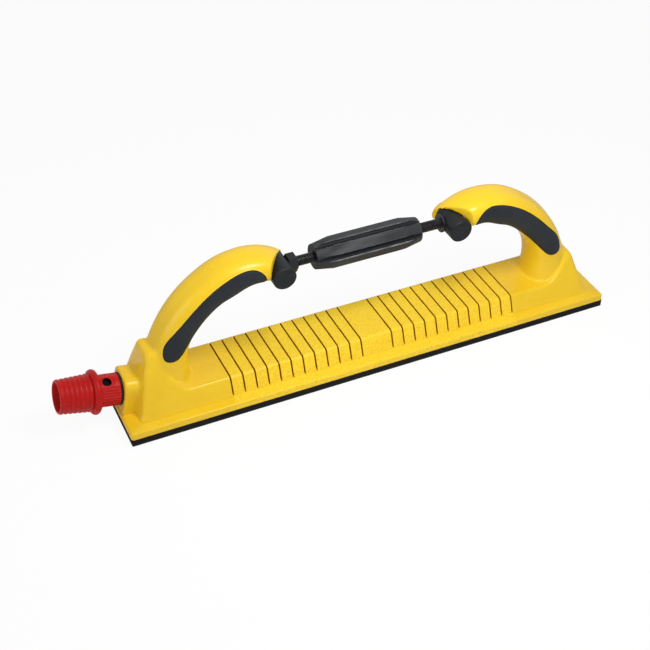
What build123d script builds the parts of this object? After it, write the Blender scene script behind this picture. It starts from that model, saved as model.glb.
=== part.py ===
from build123d import *
import math
import os

os.makedirs("parts", exist_ok=True)

# Adjustable sanding block, in millimetres.
# The origin is the centre of the sanding face, +X runs along the block away from the dust port,
# +Z points up to the handles and the photographed side is -Y.

# Sanding face and pad
BASE_LENGTH = 400.0
BASE_WIDTH = 70.0
HOOK_THICKNESS = 1.5
PAD_THICKNESS = 4.3
PAD_CORNER_RADIUS = 1.0
DUST_HOLE_RADIUS = 4.0
DUST_HOLE_END_INSET = 38.0
DUST_ROW_WIDTH = 22.0
DUST_HOLE_PAIRS = 5

# Yellow moulding: flange, side walls, deck and the raised ends
FLANGE_EDGE_THICKNESS = 5.2
FLANGE_SLOPE_HEIGHT = 1.6
FLANGE_CORNER_RADIUS = 2.0
FLANGE_ROUND_RADIUS = 1.2
WALL_FOOT_WIDTH = 54.6
WALL_HEIGHT = 14.2
WALL_DRAFT = 20.0
WALL_ROUND_RADIUS = 3.0
HUMP_HEIGHT = 21.7
HUMP_LENGTH = 22.5
PORT_HUMP_HEIGHT = 31.7
PORT_HUMP_LENGTH = 28.0
HUMP_INSET = 26.0
HUMP_CREST_LENGTH = 4.5
END_WALL_INSET = 10.3
CHANNEL_WIDTH = 34.0
CHANNEL_DEPTH = 3.4
CHANNEL_END_INSET = 30.0

# Slots that let the moulding bend
SLOT_COUNT = 12
SLOT_END_INSET = 81.17
SLOT_WIDTH = 1.2
SLOT_FIRST_OFFSET = 12.9
SLOT_FLOOR_HEIGHT = 0.3
SEAM_GAP = 0.1

# Horn-shaped handles
HANDLE_ROOT_INSET = 40.0
HANDLE_REACH_LENGTH = 100.0
HANDLE_HEIGHT = 90.0
HANDLE_THICKNESS = 25.0
HANDLE_WIDTH = 31.0
HANDLE_FOOT_DEPTH = 10.8
SECTION_FULLNESS = 2.5
SECTION_POINTS = 12
TIP_CUT_ANGLE = 36.1
TIP_CUT_INSET = 0.7

# Soft grips let into the handle's flanks
GRIP_DEPTH = 1.6
GRIP_PROUD_HEIGHT = 0.5
GRIP_GAP = 0.05

# Swivels, threaded rod and barrel
SPINDLE_DROP_HEIGHT = 8.0
SWIVEL_TIP_INSET = 11.7
SWIVEL_RADIUS = 9.0
SWIVEL_FRONT_LENGTH = 17.0
SWIVEL_BACK_LENGTH = 8.7
SWIVEL_EDGE_WIDTH = 0.8
SPOT_FACE_DEPTH = 0.8
POCKET_GAP = 0.3
JOURNAL_RADIUS = 4.0
JOURNAL_LENGTH = 3.3
RUNNING_GAP = 0.05
ROD_RADIUS = 4.0
ROD_END_LENGTH = 8.0
ROD_CHAMFER = 0.8
THREAD_GAP = 0.35
RELIEF_DEPTH = 17.3
RELIEF_GAP = 2.2
LUG_RADIUS = 8.0
LUG_BACK_LENGTH = 14.4
NUT_WIDTH = 13.0
NUT_THICKNESS = 6.5
WASHER_RADIUS = 7.2
WASHER_THICKNESS = 1.6
SCREW_RADIUS = 2.0
SCREW_LENGTH = 6.0
SCREW_HEAD_RADIUS = 5.0
SCREW_HEAD_THICKNESS = 2.2
SCREW_HEAD_GAP = 0.2
SCREW_POCKET_GAP = 0.5
SPOT_FACE_RADIUS = 8.0
BARREL_END_INSET = 29.0
BARREL_RADIUS = 12.1
BARREL_END_RADIUS = 9.5
BARREL_TAPER_LENGTH = 14.0
BARREL_LOBES = 6
BARREL_FLAT_RADIUS = 11.6
FLUTE_RADIUS = 2.5
FLUTE_ANGLE = 49.4

# Dust port and hose connector
PORT_INSET = 3.5
PORT_HEIGHT = 26.6
PORT_TILT = 10.0
PORT_BOSS_WIDTH = 27.0
PORT_BOSS_CORNER_RADIUS = 6.5
PORT_BOSS_LENGTH = 22.0
PORT_BORE_RADIUS = 8.9
PORT_BORE_DEPTH = 31.0
PORT_DROP_RADIUS = 8.0
SEAL_RADIUS = 12.1
SEAL_THICKNESS = 2.5
SEAL_GAP = 0.2
SPIGOT_GAP = 0.1
SPIGOT_DEPTH = 14.0
NECK_RADIUS = 11.9
NECK_LENGTH = 12.6
COLLAR_RADIUS = 16.6
COLLAR_LENGTH = 6.7
COLLAR_ROUND_RADIUS = 2.4
NOZZLE_RADIUS = 13.9
NOZZLE_END_RADIUS = 12.4
NOZZLE_LENGTH = 24.2
NOZZLE_RINGS = 7
RING_DEPTH = 0.45
NOZZLE_BORE_RADIUS = 10.6
SPIGOT_BORE_RADIUS = 7.2
BLEED_HOLE_RADIUS = 3.4
BLEED_HOLE_OFFSET = 11.0
BLEED_HOLE_ANGLE = 70.0

OVERRUN_LENGTH = 1.0

# Levels and places worked out from the sizes above
pad_top = HOOK_THICKNESS + PAD_THICKNESS
flange_top = pad_top + FLANGE_EDGE_THICKNESS
wall_foot = flange_top + FLANGE_SLOPE_HEIGHT
deck_top = wall_foot + WALL_HEIGHT
slot_floor = wall_foot + SLOT_FLOOR_HEIGHT
half_length = BASE_LENGTH / 2
half_width = BASE_WIDTH / 2
dust_hole_pitch = (half_length - DUST_HOLE_END_INSET) / (DUST_HOLE_PAIRS - 1 / 2)
slot_pitch = (half_length - SLOT_END_INSET - SLOT_FIRST_OFFSET) / (SLOT_COUNT - 1)
centre_edge = SLOT_FIRST_OFFSET - SLOT_WIDTH / 2
flex_edge = SLOT_FIRST_OFFSET + slot_pitch * (SLOT_COUNT - 1) + SLOT_WIDTH / 2
channel_end = half_length - CHANNEL_END_INSET
handle_root = half_length - HANDLE_ROOT_INSET
handle_foot = deck_top - HANDLE_FOOT_DEPTH
swivel_x = handle_root - HANDLE_REACH_LENGTH + SWIVEL_TIP_INSET
spindle_height = handle_foot + HANDLE_HEIGHT - SPINDLE_DROP_HEIGHT
barrel_half = swivel_x - BARREL_END_INSET
pocket_radius = SWIVEL_RADIUS + POCKET_GAP
pocket_back = SWIVEL_BACK_LENGTH + POCKET_GAP
spot_face_x = swivel_x - SWIVEL_RADIUS + SPOT_FACE_DEPTH
journal_end = SWIVEL_BACK_LENGTH + JOURNAL_LENGTH
rod_half = swivel_x + ROD_END_LENGTH
thread_bore = ROD_RADIUS + THREAD_GAP
nozzle_start = SEAL_THICKNESS + SEAL_GAP + NECK_LENGTH + COLLAR_LENGTH
nozzle_end = nozzle_start + NOZZLE_LENGTH
port_lean = math.radians(PORT_TILT)
port_out = Vector(-math.cos(port_lean), 0, math.sin(port_lean))
port_face = Vector(PORT_INSET - half_length, 0, PORT_HEIGHT)
port_plane = Plane(origin=port_face, x_dir=(0, -1, 0), z_dir=port_out)
bleed_turn = math.radians(BLEED_HOLE_ANGLE)
bleed_out = port_plane.x_dir * math.cos(bleed_turn) + port_plane.y_dir * math.sin(bleed_turn)
bleed_plane = Plane(origin=port_face + port_out * BLEED_HOLE_OFFSET, x_dir=port_out, z_dir=bleed_out)

# Handle stations from root to tip: place along the reach, height, half thickness and half breadth
# as shares of the handle's sizes, and the lean of the section in degrees
HANDLE_STATION_SHARES = (
    (-0.020, 0.040, 0.860, 0.640, 0),
    (-0.012, 0.229, 0.682, 0.545, 6),
    (0.024, 0.422, 0.572, 0.516, 17),
    (0.092, 0.594, 0.523, 0.510, 31),
    (0.222, 0.775, 0.517, 0.510, 46),
    (0.387, 0.910, 0.521, 0.512, 61),
    (0.555, 0.983, 0.504, 0.515, 76),
    (0.723, 0.997, 0.434, 0.512, 92),
    (0.840, 0.965, 0.390, 0.500, 98),
    (0.935, 0.928, 0.270, 0.460, 106),
    (1.000, 0.888, 0.130, 0.360, 118),
)
# Outline of the grip in side view, from its tip over the top and back under the handle, as shares
# of the handle's reach and height
GRIP_OUTLINE_SHARES = (
    (0.741, 0.960),
    (0.675, 1.048),
    (0.460, 1.020),
    (0.240, 0.862),
    (0.042, 0.642),
    (-0.046, 0.495),
    (-0.040, 0.412),
    (0.025, 0.393),
    (0.100, 0.455),
    (0.235, 0.618),
    (0.370, 0.740),
    (0.470, 0.775),
    (0.560, 0.750),
    (0.650, 0.790),
    (0.708, 0.870),
)
# Front slope of the raised end, as shares of its length and height
HUMP_SLOPE_SHARES = ((0.34, 0.13), (0.60, 0.42), (0.80, 0.76))


def finish(piece, name):
    """Label a finished piece and write it to its own file."""
    piece.part.label = name
    export_step(piece.part, f"parts/{name}.step")


def section_points(thick, broad):
    """Points round a handle section, fuller than an ellipse."""
    points = []
    for index in range(SECTION_POINTS):
        turn = math.tau * index / SECTION_POINTS
        across = math.copysign(abs(math.cos(turn)) ** (2 / SECTION_FULLNESS), math.cos(turn))
        aside = math.copysign(abs(math.sin(turn)) ** (2 / SECTION_FULLNESS), math.sin(turn))
        points.append((thick * across, broad * aside))
    return points


def handle(grow):
    """The horn of the right handle, with its surface moved out by grow."""
    with BuildPart() as horn:
        for along, up, thick, broad, lean in HANDLE_STATION_SHARES:
            angle = math.radians(lean)
            centre = (handle_root - HANDLE_REACH_LENGTH * along, 0, handle_foot + HANDLE_HEIGHT * up)
            outward = (math.cos(angle), 0, math.sin(angle))
            onward = (-math.sin(angle), 0, math.cos(angle))
            points = section_points(HANDLE_THICKNESS * thick + grow, HANDLE_WIDTH * broad + grow)
            with BuildSketch(Plane(origin=centre, x_dir=outward, z_dir=onward)):
                with BuildLine():
                    Spline(*points, periodic=True)
                make_face()
        loft()
    return horn.part


def grip_block():
    """The grip's side-view outline on the right handle, run through both flanks."""
    points = []
    for along, up in GRIP_OUTLINE_SHARES:
        points.append((handle_root - HANDLE_REACH_LENGTH * along, handle_foot + HANDLE_HEIGHT * up))
    with BuildPart() as block:
        with BuildSketch(Plane.XZ):
            with BuildLine():
                Spline(*points, periodic=True)
            make_face()
        extrude(amount=HANDLE_WIDTH, both=True)
    return block.part


def end_profile(side, hump_height, hump_length):
    """Side-view outline from the middle to one end: deck, front slope, crest and end wall."""
    crest_x = half_length - HUMP_INSET
    slope_x = crest_x - hump_length
    foot_x = half_length - END_WALL_INSET
    top = deck_top + hump_height
    slope = []
    for along, up in HUMP_SLOPE_SHARES:
        slope.append((side * (slope_x + hump_length * along), deck_top + hump_height * up))
    corner = Vector(side * (crest_x + HUMP_CREST_LENGTH), top - HUMP_CREST_LENGTH)
    fall = (corner - Vector(side * foot_x, flange_top)) * -1
    with BuildLine() as outline:
        Line((0, flange_top), (0, deck_top))
        Line((0, deck_top), (side * slope_x, deck_top))
        Spline((side * slope_x, deck_top), *slope, (side * crest_x, top), tangents=((side, 0), (side, 0)))
        Spline((side * crest_x, top), corner, tangents=((side, 0), fall))
        Line(corner, (side * foot_x, flange_top))
        Line((side * foot_x, flange_top), (0, flange_top))
    return outline.line


def deck_block():
    """Deck with drafted side walls and the two raised ends, above the flange."""
    draft = math.tan(math.radians(WALL_DRAFT))
    foot_half = WALL_FOOT_WIDTH / 2
    top = deck_top + PORT_HUMP_HEIGHT + OVERRUN_LENGTH
    top_half = foot_half - (top - wall_foot) * draft
    with BuildPart() as block:
        with BuildSketch(Plane.XZ):
            make_face(end_profile(1, HUMP_HEIGHT, HUMP_LENGTH).edges())
            make_face(end_profile(-1, PORT_HUMP_HEIGHT, PORT_HUMP_LENGTH).edges())
        extrude(amount=half_width, both=True)
        with BuildSketch(Plane.YZ):
            with BuildLine():
                Polyline(
                    (-foot_half, wall_foot),
                    (-top_half, top),
                    (top_half, top),
                    (foot_half, wall_foot),
                    (foot_half, flange_top),
                    (-foot_half, flange_top),
                    close=True,
                )
            make_face()
        extrude(amount=half_length, both=True, mode=Mode.INTERSECT)
        rims = block.edges().filter_by(lambda edge: edge.center().Z > wall_foot + FLANGE_SLOPE_HEIGHT)
        fillet(rims.filter_by(lambda edge: abs(edge.center().Y) > WALL_ROUND_RADIUS), WALL_ROUND_RADIUS)
    return block.part


def span(start, end):
    """A block over the whole height and width between two places along the block."""
    with BuildPart() as block:
        with BuildSketch(Plane.YZ.offset(start)):
            Rectangle(BASE_WIDTH * 2, spindle_height * 3)
        extrude(amount=end - start)
    return block.part


def rigid_end(moulded):
    """The right-hand end of a moulding with its handle, cut open for the swivel."""
    with BuildPart() as end:
        add(moulded)
        add(span(flex_edge, half_length + OVERRUN_LENGTH), mode=Mode.INTERSECT)
        add(handle(0))
        with BuildSketch(Plane.XZ.offset(-LUG_BACK_LENGTH)):
            with Locations((swivel_x, spindle_height)):
                Circle(LUG_RADIUS)
        extrude(amount=LUG_BACK_LENGTH - pocket_back)
        with BuildSketch(Plane.XY.offset(spindle_height - SWIVEL_RADIUS * 2)):
            with BuildLine():
                lean = math.tan(math.radians(TIP_CUT_ANGLE))
                cut_x = swivel_x - TIP_CUT_INSET
                Polyline(
                    (cut_x + HANDLE_WIDTH * lean, -HANDLE_WIDTH),
                    (cut_x - HANDLE_WIDTH * lean, HANDLE_WIDTH),
                    (0, HANDLE_WIDTH),
                    (0, -HANDLE_WIDTH),
                    close=True,
                )
            make_face()
        extrude(amount=SWIVEL_RADIUS * 4, mode=Mode.SUBTRACT)
        with BuildSketch(Plane.XZ.offset(-pocket_back)):
            with Locations((swivel_x, spindle_height)):
                Circle(pocket_radius)
            with Locations((swivel_x, spindle_height - SWIVEL_RADIUS)):
                Rectangle(pocket_radius * 2, SWIVEL_RADIUS * 2)
        extrude(amount=HANDLE_WIDTH, mode=Mode.SUBTRACT)
        with BuildSketch(Plane.YZ.offset(swivel_x)):
            with Locations((0, spindle_height)):
                Circle(ROD_RADIUS + RELIEF_GAP)
            with Locations((0, spindle_height - SWIVEL_RADIUS)):
                Rectangle((ROD_RADIUS + RELIEF_GAP) * 2, SWIVEL_RADIUS * 2)
        extrude(amount=RELIEF_DEPTH, mode=Mode.SUBTRACT)
        with BuildSketch(Plane.XZ.offset(-pocket_back)):
            with Locations((swivel_x, spindle_height)):
                Circle(JOURNAL_RADIUS + RUNNING_GAP)
        extrude(amount=-HANDLE_WIDTH, mode=Mode.SUBTRACT)
        with BuildSketch(Plane.XZ.offset(SCREW_HEAD_GAP - journal_end)):
            with Locations((swivel_x, spindle_height)):
                Circle(SCREW_HEAD_RADIUS + SCREW_POCKET_GAP)
        extrude(amount=-HANDLE_WIDTH, mode=Mode.SUBTRACT)
    return end.part


# Underside channel that carries the dust along the block
with BuildPart() as channel:
    with BuildSketch(Plane.XY.offset(pad_top - OVERRUN_LENGTH)):
        RectangleRounded(channel_end * 2, CHANNEL_WIDTH, FLANGE_CORNER_RADIUS)
    extrude(amount=CHANNEL_DEPTH + OVERRUN_LENGTH)

# The whole moulding without its handles, from which the base pieces are cut
with BuildPart() as moulding:
    with BuildSketch(Plane.XY.offset(pad_top)):
        RectangleRounded(BASE_LENGTH, BASE_WIDTH, FLANGE_CORNER_RADIUS)
    extrude(amount=FLANGE_EDGE_THICKNESS)
    with BuildSketch(Plane.XY.offset(flange_top)):
        RectangleRounded(BASE_LENGTH, BASE_WIDTH, FLANGE_CORNER_RADIUS)
    with BuildSketch(Plane.XY.offset(wall_foot)):
        RectangleRounded(BASE_LENGTH - END_WALL_INSET * 2, WALL_FOOT_WIDTH, FLANGE_CORNER_RADIUS)
    loft(ruled=True)
    rim = moulding.edges().filter_by_position(Axis.Z, flange_top - OVERRUN_LENGTH, flange_top + OVERRUN_LENGTH)
    fillet(rim, FLANGE_ROUND_RADIUS)
    add(deck_block())
    add(channel, mode=Mode.SUBTRACT)

# Middle of the moulding between the two slot fields
with BuildPart() as base_centre:
    add(moulding)
    add(span(-centre_edge, centre_edge), mode=Mode.INTERSECT)
finish(base_centre, "base_centre")

# Slotted fields of the moulding, which bend
with BuildPart() as flex_deck_right:
    add(moulding)
    add(span(centre_edge, flex_edge - SEAM_GAP), mode=Mode.INTERSECT)
    with BuildSketch(Plane.XY.offset(slot_floor)):
        for index in range(SLOT_COUNT):
            with Locations((SLOT_FIRST_OFFSET + slot_pitch * index, 0)):
                Rectangle(SLOT_WIDTH, BASE_WIDTH)
    extrude(amount=WALL_HEIGHT + OVERRUN_LENGTH, mode=Mode.SUBTRACT)
finish(flex_deck_right, "flex_deck_right")

with BuildPart() as flex_deck_left:
    mirror(flex_deck_right.part, about=Plane.YZ)
finish(flex_deck_left, "flex_deck_left")

# Rigid ends with their handles, before the grips and the dust port
with BuildPart() as end_right:
    add(rigid_end(moulding.part))

with BuildPart() as end_left:
    mirror(rigid_end(mirror(moulding.part, about=Plane.YZ, mode=Mode.PRIVATE)), about=Plane.YZ)
    with BuildSketch(port_plane):
        RectangleRounded(PORT_BOSS_WIDTH, PORT_BOSS_WIDTH, PORT_BOSS_CORNER_RADIUS)
        with Locations((0, (flange_top - PORT_HEIGHT) / 2)):
            Rectangle(PORT_BOSS_WIDTH, PORT_HEIGHT - flange_top)
    extrude(amount=-PORT_BOSS_LENGTH)
    with BuildSketch(port_plane):
        Circle(PORT_BORE_RADIUS)
    extrude(amount=-PORT_BORE_DEPTH, mode=Mode.SUBTRACT)
    with BuildSketch(Plane.XY.offset(pad_top - OVERRUN_LENGTH)):
        with Locations((port_face.X + PORT_BORE_DEPTH * math.cos(port_lean), 0)):
            Circle(PORT_DROP_RADIUS)
    extrude(amount=PORT_HEIGHT - pad_top - PORT_BORE_DEPTH * math.sin(port_lean), mode=Mode.SUBTRACT)

# Soft grips let into the handles, wrapping under them towards the tips
with BuildPart() as grip_right:
    add(grip_block())
    add(handle(GRIP_GAP - GRIP_DEPTH), mode=Mode.SUBTRACT, clean=False)
    add(handle(GRIP_PROUD_HEIGHT), mode=Mode.INTERSECT, clean=False)
finish(grip_right, "grip_right")

with BuildPart() as grip_left:
    mirror(grip_right.part, about=Plane.YZ)
finish(grip_left, "grip_left")

with BuildPart() as grip_seat:
    add(grip_block())
    add(handle(-GRIP_DEPTH), mode=Mode.SUBTRACT, clean=False)

with BuildPart() as end_right_seated:
    add(end_right)
    add(grip_seat, mode=Mode.SUBTRACT)
finish(end_right_seated, "end_right")

with BuildPart() as end_left_seated:
    add(end_left)
    add(mirror(grip_seat.part, about=Plane.YZ, mode=Mode.PRIVATE), mode=Mode.SUBTRACT)
finish(end_left_seated, "end_left")

# Pad and hook sheet under the moulding, in the same four lengths
for layer, low, thickness in (("hook", 0, HOOK_THICKNESS), ("pad", HOOK_THICKNESS, PAD_THICKNESS)):
    with BuildPart() as sheet:
        with BuildSketch(Plane.XY.offset(low)):
            RectangleRounded(BASE_LENGTH, BASE_WIDTH, PAD_CORNER_RADIUS)
            for index in range(DUST_HOLE_PAIRS):
                hole_x = dust_hole_pitch * (index + 1 / 2)
                for hole_y in (-DUST_ROW_WIDTH / 2, DUST_ROW_WIDTH / 2):
                    with Locations((hole_x, hole_y), (-hole_x, hole_y)):
                        Circle(DUST_HOLE_RADIUS, mode=Mode.SUBTRACT)
        extrude(amount=thickness)
    stretches = {
        f"{layer}_centre": (-centre_edge, centre_edge),
        f"{layer}_right": (centre_edge, flex_edge - SEAM_GAP),
        f"{layer}_right_end": (flex_edge, half_length + OVERRUN_LENGTH),
        f"{layer}_left": (SEAM_GAP - flex_edge, -centre_edge),
        f"{layer}_left_end": (-half_length - OVERRUN_LENGTH, -flex_edge),
    }
    for name, (start, end) in stretches.items():
        with BuildPart() as piece:
            add(sheet)
            add(span(start, end), mode=Mode.INTERSECT)
        finish(piece, name)

# Swivels in the handle tips, with their threaded bores and journals
with BuildPart() as swivel_right:
    with BuildSketch(Plane.XZ.offset(-SWIVEL_BACK_LENGTH)):
        with Locations((swivel_x, spindle_height)):
            Circle(SWIVEL_RADIUS)
    extrude(amount=SWIVEL_BACK_LENGTH + SWIVEL_FRONT_LENGTH)
    chamfer(swivel_right.edges().filter_by(GeomType.CIRCLE), SWIVEL_EDGE_WIDTH)
    with BuildSketch(Plane.XZ.offset(-journal_end)):
        with Locations((swivel_x, spindle_height)):
            Circle(JOURNAL_RADIUS)
    extrude(amount=JOURNAL_LENGTH)
    with BuildSketch(Plane.YZ.offset(spot_face_x)):
        with Locations((0, spindle_height)):
            Circle(SPOT_FACE_RADIUS)
    extrude(amount=-SWIVEL_RADIUS, mode=Mode.SUBTRACT)
    with BuildSketch(Plane.YZ.offset(swivel_x)):
        with Locations((0, spindle_height)):
            Circle(thread_bore)
    extrude(amount=SWIVEL_RADIUS, both=True, mode=Mode.SUBTRACT)
    with BuildSketch(Plane.XZ.offset(-journal_end)):
        with Locations((swivel_x, spindle_height)):
            Circle(SCREW_RADIUS + RUNNING_GAP)
    extrude(amount=SCREW_LENGTH, mode=Mode.SUBTRACT)
finish(swivel_right, "swivel_right")

with BuildPart() as swivel_left:
    mirror(swivel_right.part, about=Plane.YZ)
finish(swivel_left, "swivel_left")

# Screws that hold the swivels in the far cheeks of the handles
with BuildPart() as pivot_screw_right:
    with BuildSketch(Plane.XZ.offset(-journal_end)):
        with Locations((swivel_x, spindle_height)):
            Circle(SCREW_HEAD_RADIUS)
    extrude(amount=-SCREW_HEAD_THICKNESS)
    with BuildSketch(Plane.XZ.offset(-journal_end)):
        with Locations((swivel_x, spindle_height)):
            Circle(SCREW_RADIUS)
    extrude(amount=SCREW_LENGTH - RUNNING_GAP)
finish(pivot_screw_right, "pivot_screw_right")

with BuildPart() as pivot_screw_left:
    mirror(pivot_screw_right.part, about=Plane.YZ)
finish(pivot_screw_left, "pivot_screw_left")

# Lock nut on the left swivel and washer on the right one
with BuildPart() as lock_nut:
    with BuildSketch(Plane.YZ.offset(-spot_face_x)):
        with Locations((0, spindle_height)):
            RegularPolygon(NUT_WIDTH / 2, 6, major_radius=False)
            Circle(thread_bore, mode=Mode.SUBTRACT)
    extrude(amount=NUT_THICKNESS)
finish(lock_nut, "lock_nut")

with BuildPart() as washer:
    with BuildSketch(Plane.YZ.offset(spot_face_x)):
        with Locations((0, spindle_height)):
            Circle(WASHER_RADIUS)
            Circle(thread_bore, mode=Mode.SUBTRACT)
    extrude(amount=-WASHER_THICKNESS)
finish(washer, "washer")

# Threaded rod and the fluted barrel that turns it
with BuildPart() as threaded_rod:
    with BuildSketch(Plane.YZ):
        with Locations((0, spindle_height)):
            Circle(ROD_RADIUS)
    extrude(amount=rod_half, both=True)
    chamfer(threaded_rod.edges().filter_by(GeomType.CIRCLE), ROD_CHAMFER)
finish(threaded_rod, "threaded_rod")

with BuildPart() as barrel:
    with BuildSketch(Plane.XZ):
        with BuildLine():
            shoulder = barrel_half - BARREL_TAPER_LENGTH
            Polyline(
                (-barrel_half, spindle_height),
                (-barrel_half, spindle_height + BARREL_END_RADIUS),
                (-shoulder, spindle_height + BARREL_RADIUS),
                (shoulder, spindle_height + BARREL_RADIUS),
                (barrel_half, spindle_height + BARREL_END_RADIUS),
                (barrel_half, spindle_height),
                close=True,
            )
        make_face()
    revolve(axis=Axis((0, 0, spindle_height), (1, 0, 0)))
    with BuildSketch(Plane.YZ):
        with Locations((0, spindle_height)):
            RegularPolygon(BARREL_FLAT_RADIUS, BARREL_LOBES, major_radius=False, rotation=FLUTE_ANGLE)
    extrude(amount=barrel_half, both=True, mode=Mode.INTERSECT)
    with BuildSketch(Plane.YZ):
        with Locations((0, spindle_height)):
            Circle(ROD_RADIUS + RUNNING_GAP)
            with PolarLocations(BARREL_RADIUS, BARREL_LOBES, start_angle=FLUTE_ANGLE):
                Circle(FLUTE_RADIUS)
    extrude(amount=barrel_half + OVERRUN_LENGTH, both=True, mode=Mode.SUBTRACT)
finish(barrel, "barrel")

# Soft ring on the face of the dust port
with BuildPart() as port_seal:
    with BuildSketch(port_plane):
        Circle(SEAL_RADIUS)
        Circle(PORT_BORE_RADIUS + SEAL_GAP, mode=Mode.SUBTRACT)
    extrude(amount=SEAL_THICKNESS)
finish(port_seal, "port_seal")

# Hose connector that turns in the dust port
with BuildPart() as hose_connector:
    with BuildSketch(Plane(origin=port_face, x_dir=port_out, z_dir=(0, -1, 0))):
        with BuildLine():
            spigot_radius = PORT_BORE_RADIUS - SPIGOT_GAP
            neck_start = SEAL_THICKNESS + SEAL_GAP
            collar_start = neck_start + NECK_LENGTH
            bore_start = nozzle_end - NOZZLE_LENGTH
            points = [
                (-SPIGOT_DEPTH, SPIGOT_BORE_RADIUS),
                (-SPIGOT_DEPTH, spigot_radius),
                (neck_start, spigot_radius),
                (neck_start, NECK_RADIUS),
                (collar_start, NECK_RADIUS),
                (collar_start, COLLAR_RADIUS - COLLAR_ROUND_RADIUS),
                (collar_start + COLLAR_ROUND_RADIUS, COLLAR_RADIUS),
                (nozzle_start - COLLAR_ROUND_RADIUS, COLLAR_RADIUS),
                (nozzle_start, COLLAR_RADIUS - COLLAR_ROUND_RADIUS),
            ]
            ring_step = NOZZLE_LENGTH / NOZZLE_RINGS
            ring_fall = (NOZZLE_RADIUS - NOZZLE_END_RADIUS) / NOZZLE_RINGS
            for index in range(NOZZLE_RINGS):
                ring_start = nozzle_start + ring_step * index
                ring_radius = NOZZLE_RADIUS - ring_fall * index
                points.append((ring_start, ring_radius))
                points.append((ring_start + ring_step, ring_radius - RING_DEPTH))
            points.append((nozzle_end, NOZZLE_BORE_RADIUS))
            points.append((bore_start, NOZZLE_BORE_RADIUS))
            points.append((bore_start, SPIGOT_BORE_RADIUS))
            Polyline(*points, close=True)
        make_face()
    revolve(axis=Axis(port_face, port_out))
    with BuildSketch(bleed_plane):
        Circle(BLEED_HOLE_RADIUS)
    extrude(amount=NECK_RADIUS + OVERRUN_LENGTH, mode=Mode.SUBTRACT)
finish(hose_connector, "hose_connector")
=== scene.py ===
import math

import bmesh
import bpy
from mathutils import Matrix, Vector


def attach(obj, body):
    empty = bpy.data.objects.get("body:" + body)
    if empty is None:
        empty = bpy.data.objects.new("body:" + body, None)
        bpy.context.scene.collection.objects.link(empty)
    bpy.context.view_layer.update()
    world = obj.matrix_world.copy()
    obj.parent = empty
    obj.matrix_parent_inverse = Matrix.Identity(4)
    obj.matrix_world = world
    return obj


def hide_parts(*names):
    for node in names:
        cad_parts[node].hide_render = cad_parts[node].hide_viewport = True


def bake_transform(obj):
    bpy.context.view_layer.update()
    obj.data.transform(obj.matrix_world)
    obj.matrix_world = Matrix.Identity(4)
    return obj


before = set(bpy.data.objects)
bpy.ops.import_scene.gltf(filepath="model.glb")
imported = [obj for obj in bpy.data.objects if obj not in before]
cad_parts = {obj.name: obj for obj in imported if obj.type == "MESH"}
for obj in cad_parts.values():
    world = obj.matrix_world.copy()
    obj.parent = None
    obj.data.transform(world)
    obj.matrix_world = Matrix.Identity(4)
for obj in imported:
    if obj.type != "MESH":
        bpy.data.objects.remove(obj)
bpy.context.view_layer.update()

MM = 0.001

# Sizes that follow the solids
SEAM = 119.43 * MM
SLOT_FIRST = 12.9 * MM
SLOT_PITCH = 9.63 * MM
SLOT_COUNT = 12
WALL_FOOT = 12.6 * MM
WALL_FOOT_HALF = 27.3 * MM
WALL_DRAFT = math.radians(20)
CENTRE_EDGE = 12.3 * MM
SPINDLE_HEIGHT = 98.0 * MM
ROD_HALF = 79.7 * MM
ROD_RADIUS = 4.0 * MM
THREAD_PITCH = 1.25 * MM
PORT_FACE = Vector((-196.5 * MM, 0, 26.6 * MM))
PORT_TILT = math.radians(10)
PORT_OUT = Vector((-math.cos(PORT_TILT), 0, math.sin(PORT_TILT)))
SPIGOT_BORE = 7.2 * MM
SPIGOT_RADIUS = 8.8 * MM
SPIGOT_END = -14.0 * MM
NECK_RADIUS = 11.9 * MM
COLLAR_END = 22.0 * MM
COLLAR_RADIUS = 16.6 * MM
COLLAR_ROUND = 2.4 * MM
NOZZLE_END = 46.2 * MM
NOZZLE_RADIUS = 13.9 * MM
NOZZLE_FALL = 0.214 * MM
NOZZLE_RINGS = 7
NOZZLE_BORE = 10.6 * MM
BLEED_ALONG = 11.0 * MM
BLEED_RADIUS = 3.4 * MM
BLEED_TURN = math.radians(70)
BARREL_RADIUS = 12.1 * MM
BARREL_LOBES = 6
FLUTE_RADIUS = 2.5 * MM
FLUTE_ANGLE = math.radians(49.4)

# Fineness of the meshes
MERGE_GAP = 0.002 * MM
SCREW_MERGE_GAP = 0.001 * MM
PROFILE_MERGE_GAP = 0.01 * MM
SLIVER_GAP = 0.02 * MM
FLAT_ANGLE = math.radians(0.5)
END_VOXEL = 0.8 * MM
GRIP_VOXEL = 0.45 * MM
THREAD_STEPS = 20
CONNECTOR_SIDES = 72
COLLAR_STEPS = 8

# Reach of the blocks that cut pieces short, in metres and past the part on every side
BLOCK_REACH = (0.6, 0.4)
BLOCK_WIDTH = 0.2
FAR_BELOW = -20 * MM
FAR_ABOVE = 200 * MM

# The ends: where remeshed form meets the plain foot, and how wide the grips' seats stand open
END_CUT_RISE = 0.3 * MM
FOOT_CUT_RISE = 0.32 * MM
BRIDGE_TOP = 32.0 * MM
BRIDGE_SHARE = 0.8
GRIP_SEAT_GAP = 0.6 * MM

# Corners that are rounded off on the ends: each border in millimetres,
# and the depth over which the rounding sets in
ROOT_LOW, ROOT_HIGH, ROOT_ALONG = (24, 3), (66, 8), (134, 4)
ROOT_WALL_INSET, ROOT_WALL_FADE = 2.5, 2
CORNER_LOW, CORNER_ALONG, CORNER_ASIDE = (14, 2), (176, 4), (15, 4)
CREST_LOW, CREST_HIGH, CREST_ALONG, CREST_FRONT = (44, 4), (66, 4), (166, 4), (3, 3)

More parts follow.
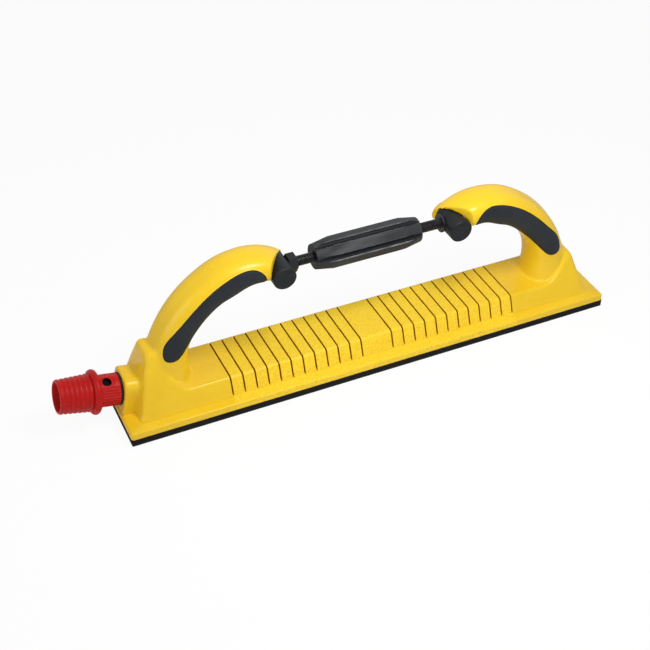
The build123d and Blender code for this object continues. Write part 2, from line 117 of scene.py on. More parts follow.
# Slots and flutes: the faces that are shaded darker
SQUARE_ON = 0.9
SLOT_FLOOR = 12.8 * MM
SLOT_SLACK_IN = 0.1 * MM
SLOT_SLACK_OUT = 0.05 * MM
FLUTE_SLACK = 1.04
FLUTE_SHADE_RADIUS = 10.9 * MM

# Rod, hose connector and seal, where they go beyond the solids
THREAD_DEPTH = 0.7 * MM
NECK_START = 1.8 * MM
NECK_END = 16.6 * MM
NECK_RIB_DEPTH = 0.3 * MM
NECK_RIB_INSET = 0.12 * MM
NECK_SLACK = 0.97
RING_DEPTH = 0.55 * MM
RING_FORM = ((0.05, RING_DEPTH), (0.30, 0), (0.70, 0), (0.95, RING_DEPTH))
CONNECTOR_EDGE = 0.25 * MM
CONNECTOR_EDGE_ANGLE = math.radians(50)
BLEED_CLEAR_ANGLE = math.radians(27)
BLEED_FLAT = 11.25 * MM
BLEED_FLAT_SIZE = (4 * MM, 9.6 * MM, 10.4 * MM)
BLEED_FLAT_EDGE = 0.8 * MM
BLEED_FLAT_SHIFT = 0.6 * MM
BLEED_CUTTER_SIDES = 48
BLEED_CUTTER_LENGTH = 6 * MM
BLEED_CUTTER_OUT = 11
PASSAGE_SLACK = 1.05
PASSAGE_END_GAP = 0.2 * MM
HOLE_SLACK = 1.03
HOLE_END_GAP = 0.1 * MM
SEAL_SHARE = 0.64

SIDES = {"left": -1, "right": 1}


# Handling of objects
def only(piece):
    """Select and activate one object alone."""
    bpy.ops.object.select_all(action="DESELECT")
    piece.select_set(True)
    bpy.context.view_layer.objects.active = piece


def edit(piece, pick=None):
    """Open a piece in edit mode with all of it, or the picked faces, selected."""
    only(piece)
    bpy.ops.object.mode_set(mode="EDIT")
    bpy.ops.mesh.select_mode(type="FACE")
    bpy.ops.mesh.select_all(action="SELECT" if pick is None else "DESELECT")
    if pick is not None:
        mesh = bmesh.from_edit_mesh(piece.data)
        for face in mesh.faces:
            face.select_set(pick(face))
        bmesh.update_edit_mesh(piece.data)


def leave():
    """Close edit mode."""
    bpy.ops.object.mode_set(mode="OBJECT")


def settle(piece):
    """Put a piece's place, turn and scale into its mesh."""
    only(piece)
    bpy.ops.object.transform_apply(location=True, rotation=True, scale=True)


def apply_modifier(piece, kind, **settings):
    """Add a modifier with its settings and apply it."""
    only(piece)
    modifier = piece.modifiers.new(kind.lower(), kind)
    for key, value in settings.items():
        setattr(modifier, key, value)
    bpy.ops.object.modifier_apply(modifier=modifier.name)


def smooth(piece, angle):
    """Shade a piece smooth, but for edges sharper than an angle in degrees."""
    only(piece)
    bpy.ops.object.shade_smooth_by_angle(angle=math.radians(angle))


def taken_from(node, name):
    """A copy of a solid's mesh, with its loose triangles merged and their shading dropped."""
    piece = bpy.data.objects.new(name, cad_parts[node].data.copy())
    bpy.context.scene.collection.objects.link(piece)
    edit(piece)
    bpy.ops.mesh.remove_doubles(threshold=MERGE_GAP)
    bpy.ops.mesh.mark_sharp(clear=True)
    leave()
    bpy.ops.mesh.customdata_custom_splitnormals_clear()
    return piece


def cut_across(piece, x):
    """Add a loop of edges round a piece where a plane across the block meets it."""
    edit(piece)
    bpy.ops.mesh.bisect(plane_co=(x, 0, 0), plane_no=(1, 0, 0))
    leave()


def dissolve_flat(piece):
    """Make each flat face of a piece whole."""
    edit(piece)
    bpy.ops.mesh.dissolve_limited(angle_limit=FLAT_ANGLE)
    leave()


def make_block(middle, size):
    """A plain block to cut with."""
    bpy.ops.mesh.primitive_cube_add(size=1, location=middle, scale=size)
    block = bpy.context.active_object
    settle(block)
    return block


def half_space(low, high):
    """A block that covers everything between two heights."""
    return make_block((0, 0, (low + high) / 2), (*BLOCK_REACH, high - low))


def cut_away(piece, tool):
    """Take a tool's volume out of a piece, and drop the tool."""
    apply_modifier(piece, "BOOLEAN", object=tool, operation="DIFFERENCE", solver="EXACT")
    bpy.data.objects.remove(tool)


def drop_slivers(piece):
    """Merge away the hair-thin faces that cuts leave, and close what that opens."""
    edit(piece)
    bpy.ops.mesh.remove_doubles(threshold=SLIVER_GAP)
    bpy.ops.mesh.dissolve_degenerate(threshold=SLIVER_GAP)
    bpy.ops.mesh.select_all(action="SELECT")
    bpy.ops.mesh.fill_holes(sides=0)
    leave()


def ease_edges(piece, width, angle):
    """Round off the edges that are sharper than an angle."""
    apply_modifier(piece, "BEVEL", width=width, segments=2, limit_method="ANGLE", angle_limit=angle)


def keep_flat(piece):
    """Shade large faces flat beside the small ones of their rounded edges."""
    apply_modifier(piece, "WEIGHTED_NORMAL", keep_sharp=True, weight=80)


def dress(piece, material, slot, body, *nodes):
    """Give a piece its material and its body unless it bends, and hide the solids it stands for; the finish
    slot is not used.
    """
    piece.data.materials.clear()
    piece.data.materials.append(material)
    if body:
        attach(piece, body)
    if nodes:
        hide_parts(*nodes)
    return piece


# Materials
# The colour sockets of a mix node, and the places of a piece's further materials
MIX_FIRST, MIX_SECOND, MIX_RESULT = 6, 7, 2
SECOND_MATERIAL, THIRD_MATERIAL = 1, 2


class Finish:
    """A surface with cloudy colour, uneven gloss and grain, built from nodes on object coordinates."""

    def __init__(self, name, colour, roughness, metallic=0.0):
        self.name = name
        self.material = bpy.data.materials.new(name)
        self.material.use_nodes = True
        self.tree = self.material.node_tree
        self.shader = self.tree.nodes["Principled BSDF"]
        self.shader.inputs["Metallic"].default_value = metallic
        self.place = self.node("ShaderNodeTexCoord").outputs["Object"]
        self.shader.inputs["Base Color"].default_value = (*colour, 1)
        self.mixed = None
        self.height = None
        self.gloss(roughness)

    def node(self, kind, **settings):
        """Add a node with its settings."""
        made = self.tree.nodes.new(kind)
        for key, value in settings.items():
            setattr(made, key, value)
        return made

    def noise(self, scale, detail=2.0, stretch=None):
        """Noise over the surface, drawn out along the block's axes if asked."""
        place = self.place
        if stretch:
            mapping = self.node("ShaderNodeMapping")
            mapping.inputs["Scale"].default_value = stretch
            self.tree.links.new(place, mapping.inputs["Vector"])
            place = mapping.outputs["Vector"]
        noise = self.node("ShaderNodeTexNoise")
        noise.inputs["Scale"].default_value = scale
        noise.inputs["Detail"].default_value = detail
        self.tree.links.new(place, noise.inputs["Vector"])
        return noise.outputs["Fac"]

    def spread(self, value, low, high, start=0.3, end=0.7):
        """Turn a noise into a value between two bounds."""
        span = self.node("ShaderNodeMapRange")
        span.inputs["From Min"].default_value = start
        span.inputs["From Max"].default_value = end
        span.inputs["To Min"].default_value = low
        span.inputs["To Max"].default_value = high
        self.tree.links.new(value, span.inputs["Value"])
        return span.outputs["Result"]

    def gloss(self, roughness, swing=0.06, scale=60):
        """Let the roughness swing about its value in patches."""
        value = self.spread(self.noise(scale, 3), roughness - swing, roughness + swing)
        self.tree.links.new(value, self.shader.inputs["Roughness"])
        return self

    def tint(self, colour, amount, scale, stretch=None, start=0.35, end=0.65):
        """Blend another colour in, in patches of the noise."""
        mix = self.node("ShaderNodeMix", data_type="RGBA")
        share = self.spread(self.noise(scale, 3, stretch), 0, amount, start, end)
        self.tree.links.new(share, mix.inputs["Factor"])
        if self.mixed is None:
            mix.inputs[MIX_FIRST].default_value = self.shader.inputs["Base Color"].default_value
        else:
            self.tree.links.new(self.mixed, mix.inputs[MIX_FIRST])
        mix.inputs[MIX_SECOND].default_value = (*colour, 1)
        self.mixed = mix.outputs[MIX_RESULT]
        self.tree.links.new(self.mixed, self.shader.inputs["Base Color"])
        return self

    def grain(self, scale, depth, detail=2.0, stretch=None):
        """Raise a fine relief, with its depth in metres."""
        bump = self.node("ShaderNodeBump")
        bump.inputs["Distance"].default_value = depth
        bump.inputs["Strength"].default_value = 1
        self.tree.links.new(self.noise(scale, detail, stretch), bump.inputs["Height"])
        if self.height is not None:
            self.tree.links.new(self.height, bump.inputs["Normal"])
        self.height = bump.outputs["Normal"]
        self.tree.links.new(self.height, self.shader.inputs["Normal"])
        return self

    def set(self, socket, value):
        """Give one of the shader's sockets a value."""
        self.shader.inputs[socket].default_value = value
        return self


def make_finishes():
    """Every finish: its linear colour and roughness, then its tints and grains."""
    made = [
        Finish("moulded_yellow", (0.83, 0.54, 0.016), 0.30)
        .tint((0.75, 0.46, 0.013), 0.5, 14)
        .tint((0.88, 0.60, 0.024), 0.35, 55)
        .grain(420, 0.02 * MM)
        .grain(2400, 0.012 * MM)
        .set("Specular IOR Level", 0.25)
        .set("Coat Weight", 0.05)
        .set("Coat Roughness", 0.12),
        # Lighter than moulded_yellow, which is the same plastic: partly the grained surface's own paler look
        # and partly painted sheen off its grain.
        Finish("grained_yellow", (0.89, 0.60, 0.018), 0.42)
        .tint((0.79, 0.48, 0.014), 0.35, 18)
        .tint((0.96, 0.69, 0.05), 0.6, 900)
        .tint((0.74, 0.44, 0.012), 0.5, 700, None, 0.5, 0.62)
        .grain(1500, 0.06 * MM, 3)
        .grain(5200, 0.02 * MM)
        .set("Specular IOR Level", 0.22),
        Finish("slot_shade", (0.62, 0.24, 0.008), 0.7)
        .tint((0.45, 0.15, 0.006), 0.6, 200)
        .grain(1500, 0.02 * MM)
        .set("Specular IOR Level", 0.1),
        Finish("grip_rubber", (0.014, 0.018, 0.023), 0.58)
        .tint((0.023, 0.027, 0.033), 0.7, 45)
        .grain(1700, 0.03 * MM, 3)
        .set("Specular IOR Level", 0.16)
        .set("Sheen Weight", 0.02),
        Finish("foam", (0.007, 0.007, 0.007), 0.88)
        .tint((0.016, 0.015, 0.014), 0.8, 900)
        .grain(1600, 0.12 * MM, 4)
        .set("Specular IOR Level", 0.1),
        Finish("hook_cloth", (0.008, 0.008, 0.008), 0.92)
        .tint((0.022, 0.021, 0.020), 0.8, 1500, (1, 0.4, 1))
        .grain(2600, 0.2 * MM, 4)
        .set("Specular IOR Level", 0.1)
        .set("Sheen Weight", 0.06),
        Finish("black_metal", (0.007, 0.009, 0.011), 0.48)
        .tint((0.014, 0.016, 0.019), 0.6, 160)
        .grain(1900, 0.018 * MM, 3)
        .set("Specular IOR Level", 0.18),
        Finish("thread_black", (0.010, 0.010, 0.011), 0.38, 0.2)
        .tint((0.030, 0.030, 0.032), 0.6, 320)
        .grain(2200, 0.012 * MM)
        .set("Specular IOR Level", 0.4),
        Finish("fluted_grey", (0.036, 0.039, 0.042), 0.45)
        .tint((0.020, 0.022, 0.024), 0.8, 45, (0.3, 1, 1))
        # Painted glare: sparse lighter streaks drawn out along the barrel.
        .tint((0.085, 0.088, 0.092), 0.6, 170, (0.15, 1, 1), 0.5, 0.68)
        .grain(900, 0.05 * MM, 3, (0.5, 1, 1))
        .set("Specular IOR Level", 0.10),
        Finish("flute_shade", (0.005, 0.006, 0.007), 0.5)
        .tint((0.010, 0.011, 0.012), 0.6, 200, (0.2, 1, 1))
        .grain(1300, 0.02 * MM)
        .set("Specular IOR Level", 0.12),
        # Painted highlight: a pale grey strip along each flute's rim, standing for the light the rims catch.
        Finish("flute_rim_painted_highlight", (0.2, 0.205, 0.21), 0.35)
        .tint((0.06, 0.063, 0.066), 0.7, 160)
        .grain(1300, 0.02 * MM)
        .set("Specular IOR Level", 0.35),
        # Painted shade for the insides of the connector's passage and bleed hole.
        Finish("bore_painted_shade", (0.003, 0.001, 0.001), 0.6)
        .tint((0.007, 0.002, 0.002), 0.5, 200)
        .set("Specular IOR Level", 0.1),
        Finish("plain_steel", (0.42, 0.42, 0.43), 0.34, 1.0)
        .tint((0.30, 0.30, 0.31), 0.6, 120)
        .grain(1500, 0.01 * MM),
        Finish("dark_steel", (0.018, 0.018, 0.020), 0.42, 0.3)
        .tint((0.04, 0.04, 0.042), 0.6, 200)
        .grain(1500, 0.01 * MM)
        .set("Specular IOR Level", 0.2),
        Finish("ring_rubber", (0.008, 0.008, 0.009), 0.7)
        .tint((0.02, 0.02, 0.02), 0.7, 300)
        .grain(1600, 0.03 * MM)
        .set("Specular IOR Level", 0.2),
        Finish("moulded_red", (0.47, 0.007, 0.006), 0.40)
        .tint((0.60, 0.012, 0.010), 0.5, 90)
        .tint((0.36, 0.004, 0.004), 0.4, 25)
        .grain(1400, 0.025 * MM, 3)
        .set("Specular IOR Level", 0.16),
    ]
    return {finish.name: finish.material for finish in made}


FINISHES = make_finishes()


# Soft grips, let into the handles
def make_grip(side):
    """One grip, with its edges softened as rubber's are."""
    grip = taken_from(f"grip_{side}", f"soft_grip_{side}")
    apply_modifier(grip, "REMESH", mode="VOXEL", voxel_size=GRIP_VOXEL, adaptivity=0.0)
    apply_modifier(grip, "SMOOTH", factor=0.5, iterations=5)
    smooth(grip, 60)
    return dress(grip, FINISHES["grip_rubber"], "soft_grip", f"{side}_end", f"grip_{side}")


# Yellow moulding
def weigh(piece, name, weight):
    """A vertex group whose weight comes from each vertex's place."""
    group = piece.vertex_groups.new(name=name)
    for vertex in piece.data.vertices:
        value = weight(vertex.co)
        if value > 0:
            group.add([vertex.index], value, "REPLACE")
    return group.name


def past(value, border):
    """How far a value lies past a border, as a share of the border's depth."""
    start, depth = border
    return (value - start) / depth


def short_of(value, border):
    """How far a value lies short of a border, as a share of the border's depth."""
    start, depth = border
    return (start - value) / depth


def root_weight(place):
    """How far the corner between a handle and the deck is rounded off."""
    along, aside, height = abs(place.x) / MM, abs(place.y) / MM, place.z / MM
    wall = (WALL_FOOT_HALF - (place.z - WALL_FOOT) * math.tan(WALL_DRAFT)) / MM
    from_wall = short_of(aside, (wall - ROOT_WALL_INSET, ROOT_WALL_FADE))
    return min(1, past(height, ROOT_LOW), short_of(height, ROOT_HIGH), past(along, ROOT_ALONG), from_wall)


def corner_weight(place):
    """How far the upright corners of the raised end are rounded off."""
    along, aside, height = abs(place.x) / MM, abs(place.y) / MM, place.z / MM
    return min(1, past(height, CORNER_LOW), past(along, CORNER_ALONG), past(aside, CORNER_ASIDE))


def shoulder_weight(place):
    """How far the front corner of the raised end's crest is rounded off."""
    along, front, height = abs(place.x) / MM, -place.y / MM, place.z / MM
    in_height = min(past(height, CREST_LOW), short_of(height, CREST_HIGH))
    return min(1, in_height, past(along, CREST_ALONG), past(front, CREST_FRONT))


# What is rounded off, how far at each place, and in how many rounds of smoothing
ROUNDINGS = (("root", root_weight, 14), ("corner", corner_weight, 45), ("shoulder", shoulder_weight, 80))


def set_on_foot(end, side):
    """Replace the lowest stretch of an end, which remeshing has blurred, by the solid's own foot."""
    cut_away(end, half_space(FAR_BELOW, WALL_FOOT + END_CUT_RISE))
    foot = taken_from(f"end_{side}", f"end_{side}_foot")
    cut_away(foot, half_space(WALL_FOOT + FOOT_CUT_RISE, FAR_ABOVE))
    apply_modifier(end, "BOOLEAN", operation="UNION", object=foot, solver="EXACT")
    bpy.data.objects.remove(foot, do_unlink=True)


def cut_seat(end, side, grip):
    """Cut a grip's seat, lined with dark rubber that stands both for the overmould's bed and for painted
    shade in the groove, so that a fine dark line shows round the grip.
    """
    end.data.materials.append(FINISHES["ring_rubber"])
    seat = bpy.data.objects.new(f"seat_{side}", grip.data.copy())
    bpy.context.scene.collection.objects.link(seat)
    edit(seat)
    bpy.ops.transform.shrink_fatten(value=GRIP_SEAT_GAP)
    leave()
    for face in seat.data.polygons:
        face.material_index = THIRD_MATERIAL
    cut_away(end, seat)


def make_end(side, sign, grip):
    """One rigid end with its handle, and its corners rounded as moulded ones are.

    While it is remeshed and smoothed, a piece of deck carries it on past its seam and the grip fills
    its recess, so that neither border is rounded off. Both are cut away again.
    """
    end = taken_from(f"end_{side}", f"end_{side}_moulding")
    bridge = taken_from("base_centre", f"end_{side}_bridge")
    bridge.data.transform(Matrix.Translation((sign * (SEAM - CENTRE_EDGE * BRIDGE_SHARE), 0, 0)))
    filler = taken_from(f"grip_{side}", f"end_{side}_filler")
    only(end)
    bridge.select_set(True)
    filler.select_set(True)
    bpy.ops.object.join()
    apply_modifier(end, "REMESH", mode="VOXEL", voxel_size=END_VOXEL, adaptivity=0.0)
    apply_modifier(end, "SMOOTH", factor=0.5, iterations=2)
    for name, weight, rounds in ROUNDINGS:
        group = weigh(end, name, weight)
        apply_modifier(end, "SMOOTH", factor=0.5, iterations=rounds, vertex_group=group)
    cut_away(end, make_block((0, 0, 0), (SEAM * 2, BLOCK_WIDTH, BRIDGE_TOP * 2)))
    set_on_foot(end, side)
    dress(end, FINISHES["moulded_yellow"], "yellow_moulding", f"{side}_end", f"end_{side}")
    shade_slots(end)
    cut_seat(end, side, grip)
    smooth(end, 50)


def in_slot(face):
    """Whether a face is the wall of a slot, above the slots' floor."""
    place = face.center
    across = CENTRE_EDGE - SLOT_SLACK_IN < abs(place.x) < SEAM + SLOT_SLACK_OUT
    return across and place.z > SLOT_FLOOR and abs(face.normal.x) > SQUARE_ON


def shade_slots(piece):
    """Darken the slots' walls, which light hardly reaches."""
    piece.data.materials.append(FINISHES["slot_shade"])
    for face in piece.data.polygons:
        if in_slot(face):
            face.material_index = SECOND_MATERIAL


def make_bending(node, name, sign, material, slot):
    """A stretch between the middle and an end, with enough cuts to bend as the slotted field does."""
    piece = taken_from(node, name)
    dissolve_flat(piece)
    for index in range(SLOT_COUNT):
        cut_across(piece, sign * (SLOT_FIRST + SLOT_PITCH * index))
        cut_across(piece, sign * (SLOT_FIRST + SLOT_PITCH * (index + 0.5)))
    smooth(piece, 30)
    keep_flat(piece)
    dress(piece, material, slot, None, node)
    shade_slots(piece)
    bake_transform(piece)


BENDING = (
    ("flex_deck", "slotted_deck", "grained_yellow", "yellow_moulding"),
    ("pad", "foam", "foam", "pad_foam"),
    ("hook", "hooks", "hook_cloth", "hook_fabric"),
)
for side, sign in SIDES.items():
    make_end(side, sign, make_grip(side))
    for node, name, finish, slot in BENDING:
        make_bending(f"{node}_{side}", f"{name}_{side}", sign, FINISHES[finish], slot)


# Threaded rod
def make_thread(side, sign):
    """Half of the rod, with its thread turned the other way on the left."""
    bpy.ops.mesh.primitive_plane_add(size=MM, location=(0, 0, 0))
    thread = bpy.context.active_object
    thread.name = f"thread_{side}"
    edit(thread)
    bpy.ops.mesh.merge(type="CENTER")
    bpy.ops.mesh.select_mode(type="VERT")
    bpy.ops.mesh.select_all(action="SELECT")
    bpy.ops.transform.translate(value=(0, 0, ROD_RADIUS - THREAD_DEPTH))
    quarter = THREAD_PITCH / 8
    for along, up in ((quarter, 0), (quarter * 3, THREAD_DEPTH), (quarter, 0), (quarter * 3, -THREAD_DEPTH)):
        bpy.ops.mesh.extrude_region_move(TRANSFORM_OT_translate={"value": (along, 0, up)})
    leave()
    turns = int(ROD_HALF / THREAD_PITCH) - 1
    apply_modifier(
        thread,
        "SCREW",
        axis="X",
        screw_offset=THREAD_PITCH,
        iterations=turns,
        steps=THREAD_STEPS,
        render_steps=THREAD_STEPS,
        use_merge_vertices=True,
        merge_threshold=SCREW_MERGE_GAP,
    )
    edit(thread)
    bpy.ops.mesh.remove_doubles(threshold=MERGE_GAP)
    bpy.ops.mesh.select_mode(type="VERT")
    bpy.ops.mesh.select_all(action="DESELECT")
    bpy.ops.mesh.select_non_manifold()
    bpy.ops.mesh.edge_face_add()
    leave()
    thread.data.transform(Matrix.Translation((0, 0, SPINDLE_HEIGHT)))
    if sign < 0:
        thread.data.transform(Matrix.Scale(-1, 4, (1, 0, 0)))
    edit(thread)
    bpy.ops.mesh.normals_make_consistent(inside=False)
    leave()
    smooth(thread, 30)
    return thread


threads = [make_thread(side, sign) for side, sign in SIDES.items()]
dress(threads[0], FINISHES["thread_black"], "rod_black", "spindle", "threaded_rod")
dress(threads[1], FINISHES["thread_black"], "rod_black", "spindle")


# Hose connector
def ring_profile():
    """Places along the connector and radii, up its outside and back down its bore."""
    middle = (NECK_END + COLLAR_END) / 2
    half = (COLLAR_END - NECK_END) / 2
    profile = [(SPIGOT_END, SPIGOT_RADIUS), (NECK_START, SPIGOT_RADIUS), (NECK_START, NECK_RADIUS)]
    profile.append((NECK_END, NECK_RADIUS))
    for step in range(COLLAR_STEPS + 1):
        turn = math.pi * step / COLLAR_STEPS
        profile.append((middle - half * math.cos(turn), COLLAR_RADIUS - COLLAR_ROUND * (1 - math.sin(turn))))
    pitch = (NOZZLE_END - COLLAR_END) / NOZZLE_RINGS
    for ring in range(NOZZLE_RINGS):
        start = COLLAR_END + pitch * ring
        radius = NOZZLE_RADIUS - NOZZLE_FALL * ring
        for share, depth in RING_FORM:
            profile.append((start + pitch * share, radius - depth))
    profile.append((NOZZLE_END, NOZZLE_RADIUS - NOZZLE_FALL * NOZZLE_RINGS - RING_DEPTH))
    profile += [(NOZZLE_END, NOZZLE_BORE), (COLLAR_END, NOZZLE_BORE), (COLLAR_END, SPIGOT_BORE)]
    profile.append((SPIGOT_END, SPIGOT_BORE))
    return profile


def neck_rib(face):
    """Every second face round the neck, but for those beside the bleed hole."""
    place = face.calc_center_median()
    if not NECK_START < place.z < NECK_END or Vector(place.xy).length < NECK_RADIUS * NECK_SLACK:
        return False
    turn = math.atan2(place.y, place.x)
    beside = abs(math.remainder(turn - BLEED_TURN, math.tau)) < BLEED_CLEAR_ANGLE
    return not beside and int((turn + math.pi) / math.tau * CONNECTOR_SIDES) % 2 == 0


def in_passage(place, away):
    """Whether a place is on the wall of the neck's passage or of the bleed hole."""
    off_axis = Vector(place.xy).length
    arm = place - Vector((0, 0, BLEED_ALONG))
    off_hole = (arm - away * arm.dot(away)).length
    in_neck = off_axis < SPIGOT_BORE * PASSAGE_SLACK and place.z < COLLAR_END - PASSAGE_END_GAP
    in_hole = off_hole < BLEED_RADIUS * HOLE_SLACK and off_axis < BLEED_FLAT - HOLE_END_GAP
    return in_neck or (in_hole and arm.dot(away) > 0)


def turn_profile():
    """The connector's round form: a circle drawn out along its profile, ring by ring."""
    bpy.ops.mesh.primitive_circle_add(
        vertices=CONNECTOR_SIDES, radius=SPIGOT_BORE, location=(0, 0, SPIGOT_END)
    )
    connector = bpy.context.active_object
    connector.name = "ringed_connector"
    settle(connector)
    edit(connector)
    bpy.ops.mesh.select_mode(type="EDGE")
    bpy.ops.mesh.select_all(action="SELECT")
    last_along, last_radius = SPIGOT_END, SPIGOT_BORE
    for along, radius in ring_profile():
        bpy.ops.mesh.extrude_edges_move(TRANSFORM_OT_translate={"value": (0, 0, along - last_along)})
        ratio = radius / last_radius
        bpy.ops.transform.resize(value=(ratio, ratio, 1), center_override=(0, 0, along))
        last_along, last_radius = along, radius
    bpy.ops.mesh.select_all(action="SELECT")
    bpy.ops.mesh.remove_doubles(threshold=PROFILE_MERGE_GAP)
    bpy.ops.mesh.normals_make_consistent(inside=False)
    leave()
    return connector


def cut_bleed(connector, away):
    """Cut the flat on the neck and the bleed hole through it."""
    flat = make_block((0, 0, 0), BLEED_FLAT_SIZE)
    apply_modifier(flat, "BEVEL", width=BLEED_FLAT_EDGE, segments=3)
    flat.rotation_euler = (0, 0, BLEED_TURN)
    lift = Vector((0, 0, BLEED_ALONG - BLEED_FLAT_SHIFT))
    flat.location = away * (BLEED_FLAT + BLEED_FLAT_SIZE[0] / 2) + lift
    settle(flat)
    cut_away(connector, flat)
    bpy.ops.mesh.primitive_cylinder_add(
        vertices=BLEED_CUTTER_SIDES, radius=BLEED_RADIUS, depth=BLEED_CUTTER_LENGTH, location=(0, 0, 0)
    )
    hole = bpy.context.active_object
    hole.rotation_euler = away.to_track_quat("Z", "Y").to_euler()
    hole.location = away * BLEED_CUTTER_OUT * MM + Vector((0, 0, BLEED_ALONG))
    settle(hole)
    cut_away(connector, hole)


def make_connector():
    """The connector with its ribbed neck, bleed hole and rings, set into the port's slant."""
    connector = turn_profile()
    edit(connector, neck_rib)
    bpy.ops.mesh.inset(thickness=NECK_RIB_INSET, use_individual=True)
    bpy.ops.transform.shrink_fatten(value=-NECK_RIB_DEPTH)
    leave()
    ease_edges(connector, CONNECTOR_EDGE, CONNECTOR_EDGE_ANGLE)
    away = Vector((math.cos(BLEED_TURN), math.sin(BLEED_TURN), 0))
    cut_bleed(connector, away)
    dress(connector, FINISHES["moulded_red"], "connector_red", "connector", "hose_connector")
    # Painted shade: the walls of the neck's passage and of the bleed hole are made near black so that the
    # hole looks dark.
    connector.data.materials.append(FINISHES["bore_painted_shade"])
    for face in connector.data.polygons:
        if in_passage(face.center, away):
            face.material_index = SECOND_MATERIAL
    across = Vector((0, -1, 0))
    turn = Matrix((across, PORT_OUT.cross(across), PORT_OUT)).transposed().to_4x4()
    connector.data.transform(Matrix.Translation(PORT_FACE) @ turn)
    drop_slivers(connector)
    smooth(connector, 35)


make_connector()


# Small hard pieces that keep the solids' shapes, with their edges eased
def ease(node, name, material, slot, body, width=None):
    """A solid's own form, with its sharp edges eased by a width if one is given."""
    piece = taken_from(node, name)
    dissolve_flat(piece)
    if width:
        ease_edges(piece, width, math.radians(30))
    smooth(piece, 40)
    keep_flat(piece)
    return dress(piece, material, slot, body, node)


def in_flute(place):
    """Whether a place on the barrel is on the wall of one of its flutes."""
    for index in range(BARREL_LOBES):
        turn = FLUTE_ANGLE + math.tau * index / BARREL_LOBES
        across = place.y - BARREL_RADIUS * math.cos(turn)
        up = place.z - SPINDLE_HEIGHT - BARREL_RADIUS * math.sin(turn)
        if math.hypot(across, up) < FLUTE_RADIUS * FLUTE_SLACK:
            return True
    return False


def make_barrel():
    """The barrel, with painted shade in its flutes and on its ends, and a painted highlight along the flutes'
    rims.
    """
    barrel = ease("barrel", "fluted_barrel", FINISHES["fluted_grey"], "barrel_grey", "spindle")
    barrel.data.materials.append(FINISHES["flute_shade"])
    barrel.data.materials.append(FINISHES["flute_rim_painted_highlight"])
    for face in barrel.data.polygons:
        off_axis = math.hypot(face.center.y, face.center.z - SPINDLE_HEIGHT)
        if abs(face.normal.x) > SQUARE_ON:
            face.material_index = SECOND_MATERIAL
        elif in_flute(face.center):
            deep = off_axis < FLUTE_SHADE_RADIUS
            face.material_index = SECOND_MATERIAL if deep else THIRD_MATERIAL


make_barrel()
ease("lock_nut", "hex_nut", FINISHES["black_metal"], "rod_black", "left_swivel", width=0.4 * MM)
ease("washer", "ring_washer", FINISHES["dark_steel"], "washer_steel", "right_swivel", width=0.25 * MM)
ring = ease("port_seal", "soft_port_ring", FINISHES["ring_rubber"], "seal_rubber", "left_end", width=0.5 * MM)
thinner = Matrix.Scale(SEAL_SHARE, 4, PORT_OUT)
ring.data.transform(Matrix.Translation(PORT_FACE) @ thinner @ Matrix.Translation(-PORT_FACE))
shade_slots(ease("base_centre", "middle_deck", FINISHES["grained_yellow"], "yellow_moulding", "base"))
for side in SIDES:
    body = f"{side}_swivel"
    black, steel = FINISHES["black_metal"], FINISHES["plain_steel"]
    ease(f"swivel_{side}", f"swivel_pin_{side}", black, "swivel_black", body, width=0.3 * MM)
    ease(f"pivot_screw_{side}", f"pan_screw_{side}", steel, "screw_steel", body, width=0.5 * MM)


# Solids whose shape is right already
for node, material in {
    "pad_centre": "foam",
    "pad_left_end": "foam",
    "pad_right_end": "foam",
    "hook_centre": "hook_cloth",
    "hook_left_end": "hook_cloth",
    "hook_right_end": "hook_cloth",
}.items():
    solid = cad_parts[node]
    for place in solid.material_slots:
        place.material = FINISHES[material]


# Floor, light and camera
FLOOR_SIZE = 12
FLOOR_LEVEL = -0.2 * MM
FLOOR_GREY = (0.92, 0.92, 0.92, 1)
FLOOR_GLOW_SHARE = 0.93
WORLD_LIGHT = 0.38
LAMP_AIM = Vector((0, 0, 0.04))
LAMPS = (
    ("key", (0.03, -0.21, 0.48), 0.2, 1.85),
    ("fill", (0.9, -1.0, 0.7), 1.0, 0.5),
    ("left_fill", (-1.2, -0.15, 0.5), 0.8, 3.6),
)
CAMERA_AZIMUTH = -25.017
CAMERA_ELEVATION = 38.969
CAMERA_ROLL = 0.443
CAMERA_DISTANCE = 953.919 * MM
CAMERA_AIM = Vector((-42.573 * MM, -21.486 * MM, 50 * MM))
FOCAL_PIXELS = 1290.875
PICTURE_PIXELS = 650
SENSOR = 36.0


def make_floor():
    """A pale floor that the camera sees almost as white, with a faint shade under the block."""
    bpy.ops.mesh.primitive_plane_add(size=FLOOR_SIZE, location=(0, 0, FLOOR_LEVEL))
    floor = bpy.context.active_object
    floor.name = "floor"
    material = bpy.data.materials.new("pale_floor")
    material.use_nodes = True
    tree = material.node_tree
    shader = tree.nodes["Principled BSDF"]
    shader.inputs["Base Color"].default_value = FLOOR_GREY
    shader.inputs["Roughness"].default_value = 0.9
    shader.inputs["Specular IOR Level"].default_value = 0.0
    white = tree.nodes.new("ShaderNodeEmission")
    white.inputs["Strength"].default_value = 1.0
    seen = tree.nodes.new("ShaderNodeLightPath")
    share = tree.nodes.new("ShaderNodeMath")
    share.operation = "MULTIPLY"
    share.inputs[1].default_value = FLOOR_GLOW_SHARE
    mix = tree.nodes.new("ShaderNodeMixShader")
    tree.links.new(seen.outputs["Is Camera Ray"], share.inputs[0])
    tree.links.new(share.outputs[0], mix.inputs["Fac"])
    tree.links.new(shader.outputs["BSDF"], mix.inputs[1])
    tree.links.new(white.outputs["Emission"], mix.inputs[2])
    tree.links.new(mix.outputs["Shader"], tree.nodes["Material Output"].inputs["Surface"])
    floor.data.materials.append(material)


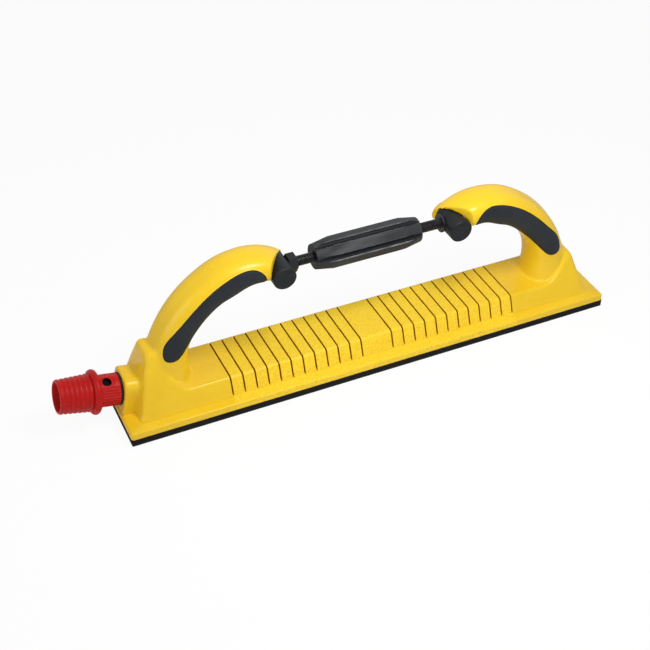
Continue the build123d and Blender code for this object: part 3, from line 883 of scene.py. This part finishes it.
def make_lamp(name, place, size, power):
    """A soft round lamp that looks at the block, with its size in metres and its power in watts."""
    lamp = bpy.data.lights.new(name, "AREA")
    lamp.energy = power
    lamp.shape = "DISK"
    lamp.size = size
    holder = bpy.data.objects.new(name, lamp)
    bpy.context.scene.collection.objects.link(holder)
    holder.location = place
    aim = LAMP_AIM - Vector(place)
    holder.rotation_euler = aim.to_track_quat("-Z", "Y").to_euler()


def make_world():
    """White to the camera and in reflections, and dimmer as a light."""
    world = bpy.data.worlds.new("studio")
    bpy.context.scene.world = world
    world.use_nodes = True
    back = world.node_tree.nodes["Background"]
    back.inputs["Color"].default_value = (1, 1, 1, 1)
    path = world.node_tree.nodes.new("ShaderNodeLightPath")
    seen = world.node_tree.nodes.new("ShaderNodeMath")
    seen.operation = "MAXIMUM"
    either = world.node_tree.nodes.new("ShaderNodeMath")
    either.operation = "MAXIMUM"
    level = world.node_tree.nodes.new("ShaderNodeMapRange")
    level.inputs["To Min"].default_value = WORLD_LIGHT
    level.inputs["To Max"].default_value = 1.0
    links = world.node_tree.links
    links.new(path.outputs["Is Camera Ray"], seen.inputs[0])
    links.new(path.outputs["Is Glossy Ray"], seen.inputs[1])
    links.new(seen.outputs[0], either.inputs[0])
    links.new(path.outputs["Is Transmission Ray"], either.inputs[1])
    links.new(either.outputs[0], level.inputs["Value"])
    links.new(level.outputs["Result"], back.inputs["Strength"])


def make_camera():
    """The photograph's view, solved from the slots, the pad's outline and the handles."""
    azimuth = math.radians(CAMERA_AZIMUTH)
    elevation = math.radians(CAMERA_ELEVATION)
    roll = math.radians(CAMERA_ROLL)
    out = math.cos(elevation)
    back = Vector((math.sin(azimuth) * out, -math.cos(azimuth) * out, math.sin(elevation)))
    level = Vector((0, 0, 1)).cross(back).normalized()
    upright = back.cross(level)
    right = level * math.cos(roll) + upright * math.sin(roll)
    up = upright * math.cos(roll) - level * math.sin(roll)
    lens = bpy.data.cameras.new("photo_view")
    lens.sensor_width = SENSOR
    lens.lens = FOCAL_PIXELS / PICTURE_PIXELS * SENSOR
    camera = bpy.data.objects.new("photo_view", lens)
    bpy.context.scene.collection.objects.link(camera)
    turn = Matrix((right, up, back)).transposed().to_4x4()
    camera.matrix_world = Matrix.Translation(CAMERA_AIM + back * CAMERA_DISTANCE) @ turn
    bpy.context.scene.camera = camera


make_floor()
for lamp in LAMPS:
    make_lamp(*lamp)
make_world()
make_camera()
bpy.context.scene.view_settings.view_transform = "Standard"
